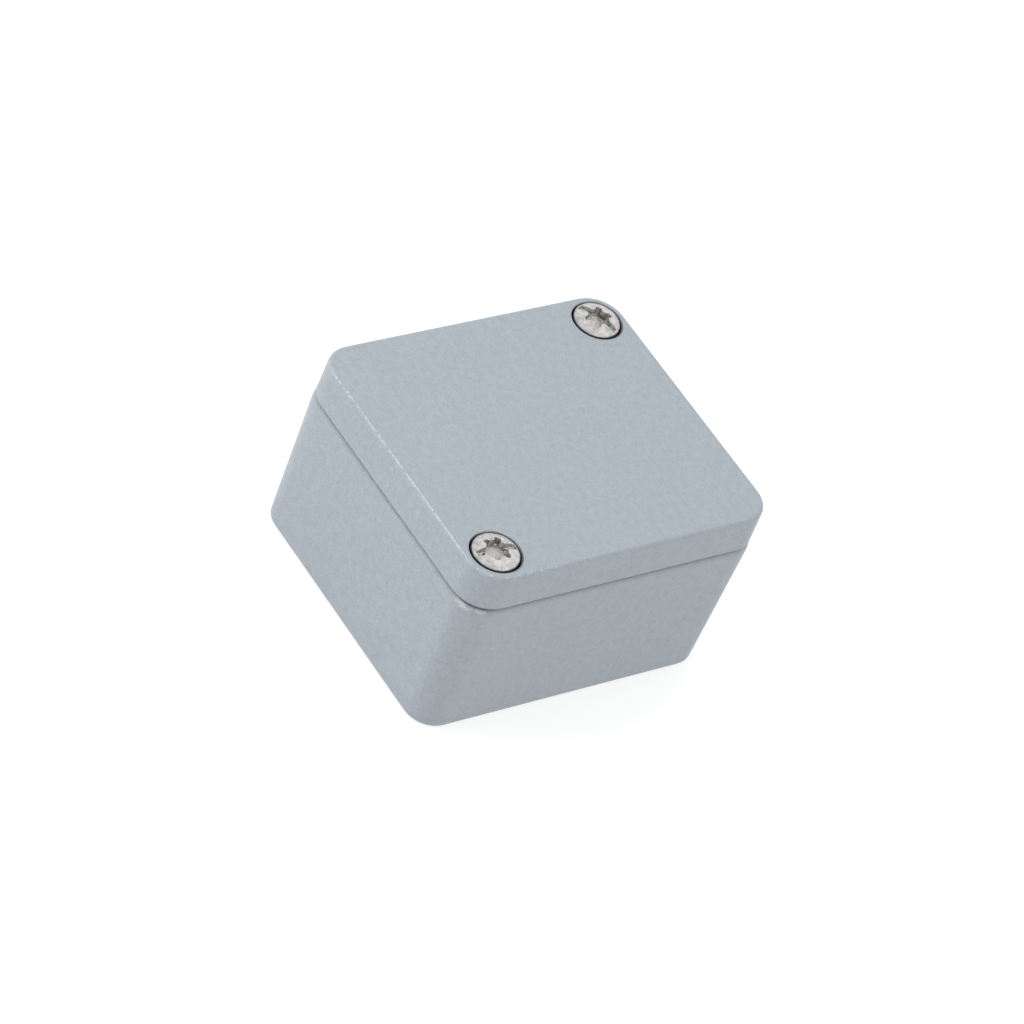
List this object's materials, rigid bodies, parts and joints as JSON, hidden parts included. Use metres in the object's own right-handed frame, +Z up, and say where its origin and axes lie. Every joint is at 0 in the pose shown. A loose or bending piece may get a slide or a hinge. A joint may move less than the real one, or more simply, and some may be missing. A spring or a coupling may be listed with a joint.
{
  "type": "electronics enclosure",
  "caption": "Small rectangular cast metal enclosure with drafted base, sealed lid, captive lid screws on one diagonal, wall-fixing holes on the other and an earth terminal inside.",
  "frame": {"origin": "centre of the base's underside", "axes": "+Z up out of the lid, +Y along the longer side, +X along the shorter side"},
  "size_m": [0.045, 0.05, 0.0308],
  "materials": {
    "coated_casting": "satin",
    "seal_rubber": "matte",
    "stainless": "satin",
    "retainer_plastic": "matte",
    "terminal_brass": "satin"
  },
  "bodies": {
    "base": {"base": "coated_casting", "earth_screw": "terminal_brass", "earth_lock_washer": "stainless", "earth_clamp_washer": "terminal_brass"},
    "lid": {"lid": "coated_casting", "lid_gasket": "seal_rubber"},
    "retainer_front": {"screw_retainer_front": "retainer_plastic"},
    "retainer_rear": {"screw_retainer_rear": "retainer_plastic"},
    "screw_front": {"lid_screw_front": "stainless"},
    "screw_rear": {"lid_screw_rear": "stainless"}
  },
  "joints": [
    {"name": "lid_lift", "type": "slide", "parent": "base", "child": "lid", "axis": [0, 0, 1], "range_m": [0, 0.04]},
    {"name": "screw_front_rise", "type": "slide", "parent": "lid", "child": "retainer_front", "axis": [0, 0, 1], "range_m": [0, 0.0049]},
    {"name": "screw_front_turn", "type": "hinge", "parent": "retainer_front", "child": "screw_front", "pos_m": [0.0175, -0.02, 0.02735], "axis": [0, 0, 1], "range_deg": [0, 2520]},
    {"name": "screw_rear_rise", "type": "slide", "parent": "lid", "child": "retainer_rear", "axis": [0, 0, 1], "range_m": [0, 0.0049]},
    {"name": "screw_rear_turn", "type": "hinge", "parent": "retainer_rear", "child": "screw_rear", "pos_m": [-0.0175, 0.02, 0.02735], "axis": [0, 0, 1], "range_deg": [0, 2520]}
  ],
  "couplings": [
    {"joint": "screw_front_turn", "follows": "screw_front_rise", "rad_per_m": 8976},
    {"joint": "screw_rear_turn", "follows": "screw_rear_rise", "rad_per_m": 8976}
  ]
}
